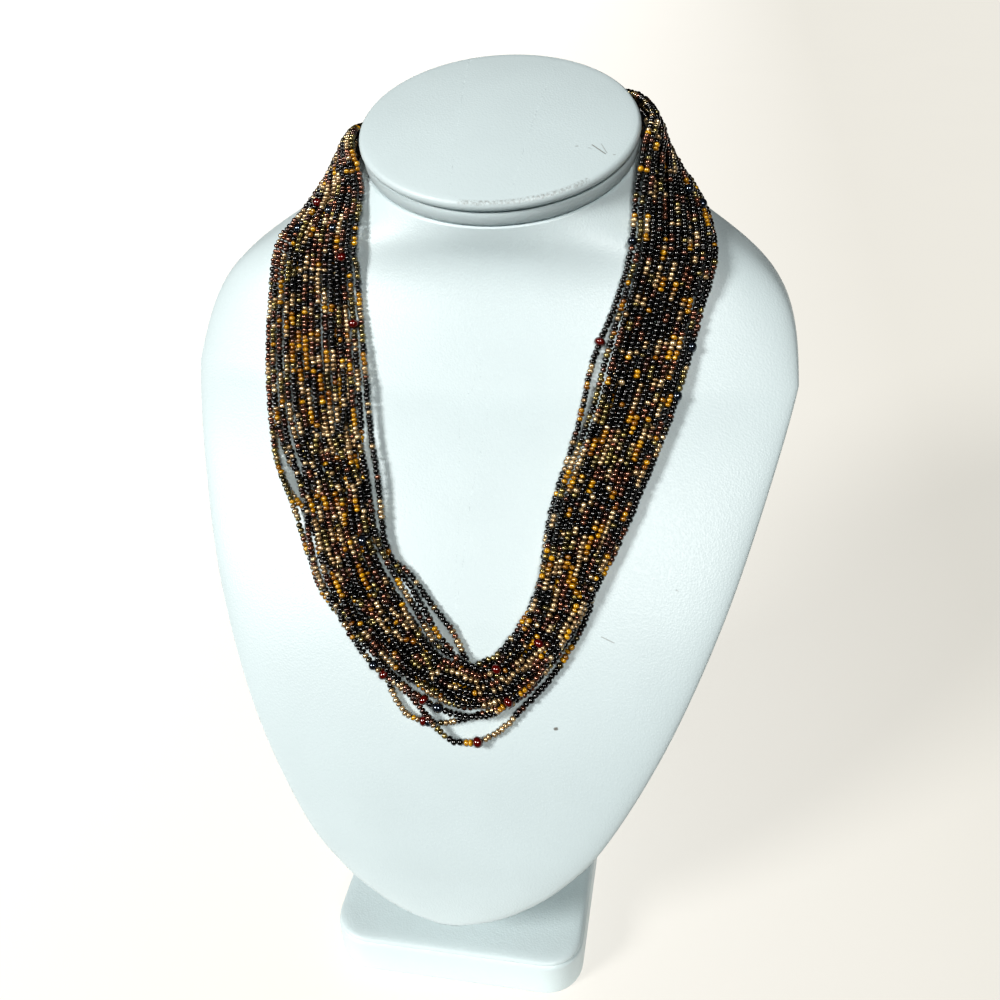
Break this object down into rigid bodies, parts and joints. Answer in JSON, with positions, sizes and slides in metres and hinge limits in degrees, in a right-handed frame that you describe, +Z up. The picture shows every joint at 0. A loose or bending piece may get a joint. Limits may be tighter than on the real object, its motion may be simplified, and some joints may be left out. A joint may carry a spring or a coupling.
{
  "type": "multi strand bead necklace on a neck bust",
  "caption": "Necklace of many seed bead strands gathered at one clasp, worn by a leatherette neck display bust that stands on a flat base.",
  "frame": {"origin": "middle of the underside of the base plate", "axes": "+Z up; -Y to the front, where the chest faces; +X to the right of someone who faces the bust"},
  "size_m": [0.192, 0.1728, 0.2531],
  "materials": {
    "leatherette": "matt white leatherette with a fine grain",
    "beads": "glossy glass seed beads in black, bronze, gold lustre and amber",
    "thread": "waxed dark thread",
    "clasp": "satin metal"
  },
  "bodies": {
    "root": {"base_plate": "leatherette", "column": "leatherette", "bust_form": "leatherette", "neck_band": "leatherette", "neck_cap": "leatherette", "bead_bundle": "beads", "loop_small": "beads", "loop_low": "beads", "inner_left": "beads", "inner_right": "beads", "end_wrap_left": "thread", "end_wrap_right": "thread", "back_thread_left": "thread", "back_thread_right": "thread", "clasp": "clasp"}
  },
  "joints": []
}
